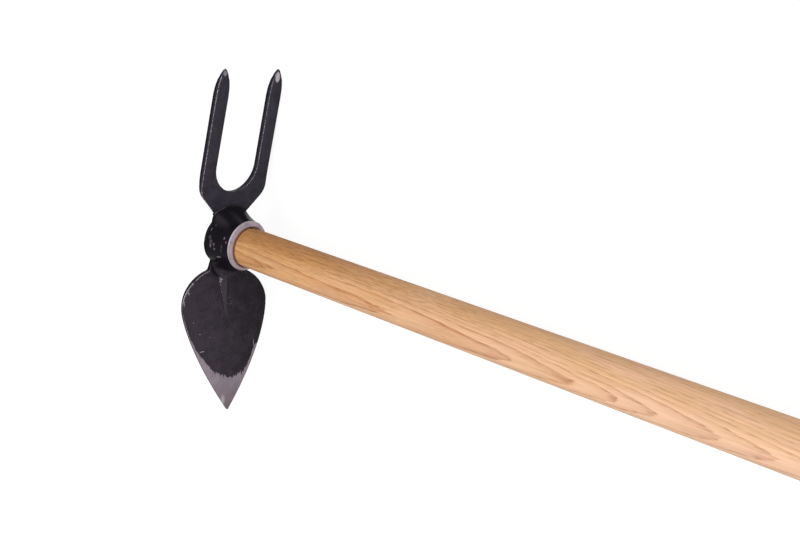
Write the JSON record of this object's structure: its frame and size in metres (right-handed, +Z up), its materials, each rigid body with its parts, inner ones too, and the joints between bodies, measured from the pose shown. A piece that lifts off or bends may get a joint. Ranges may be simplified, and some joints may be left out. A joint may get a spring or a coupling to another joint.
{
  "type": "double hoe",
  "caption": "Double hoe with a forged black steel head, forked tines on one side and a pointed leaf blade on the other, wedged on a long round wooden handle.",
  "frame": {"origin": "middle of the footprint, on the floor that the tool lies on", "axes": "+X along the handle from the head to the butt end, +Y towards the fork's tips, +Z up"},
  "size_m": [1.3004, 0.2504, 0.0784],
  "materials": {
    "painted_steel": "forged steel in thin near-black paint, worn bare along edges, ground bright at the blade's tip and the eye's mouth",
    "ash_wood": "turned and sanded ash with a thin clear coat",
    "hardwood": "sawn hardwood, uncoated",
    "bare_steel": "sheared mild steel, uncoated"
  },
  "bodies": {
    "root": {"head": "painted_steel", "handle": "ash_wood", "wood_wedge": "hardwood", "steel_wedge": "bare_steel"}
  },
  "joints": []
}
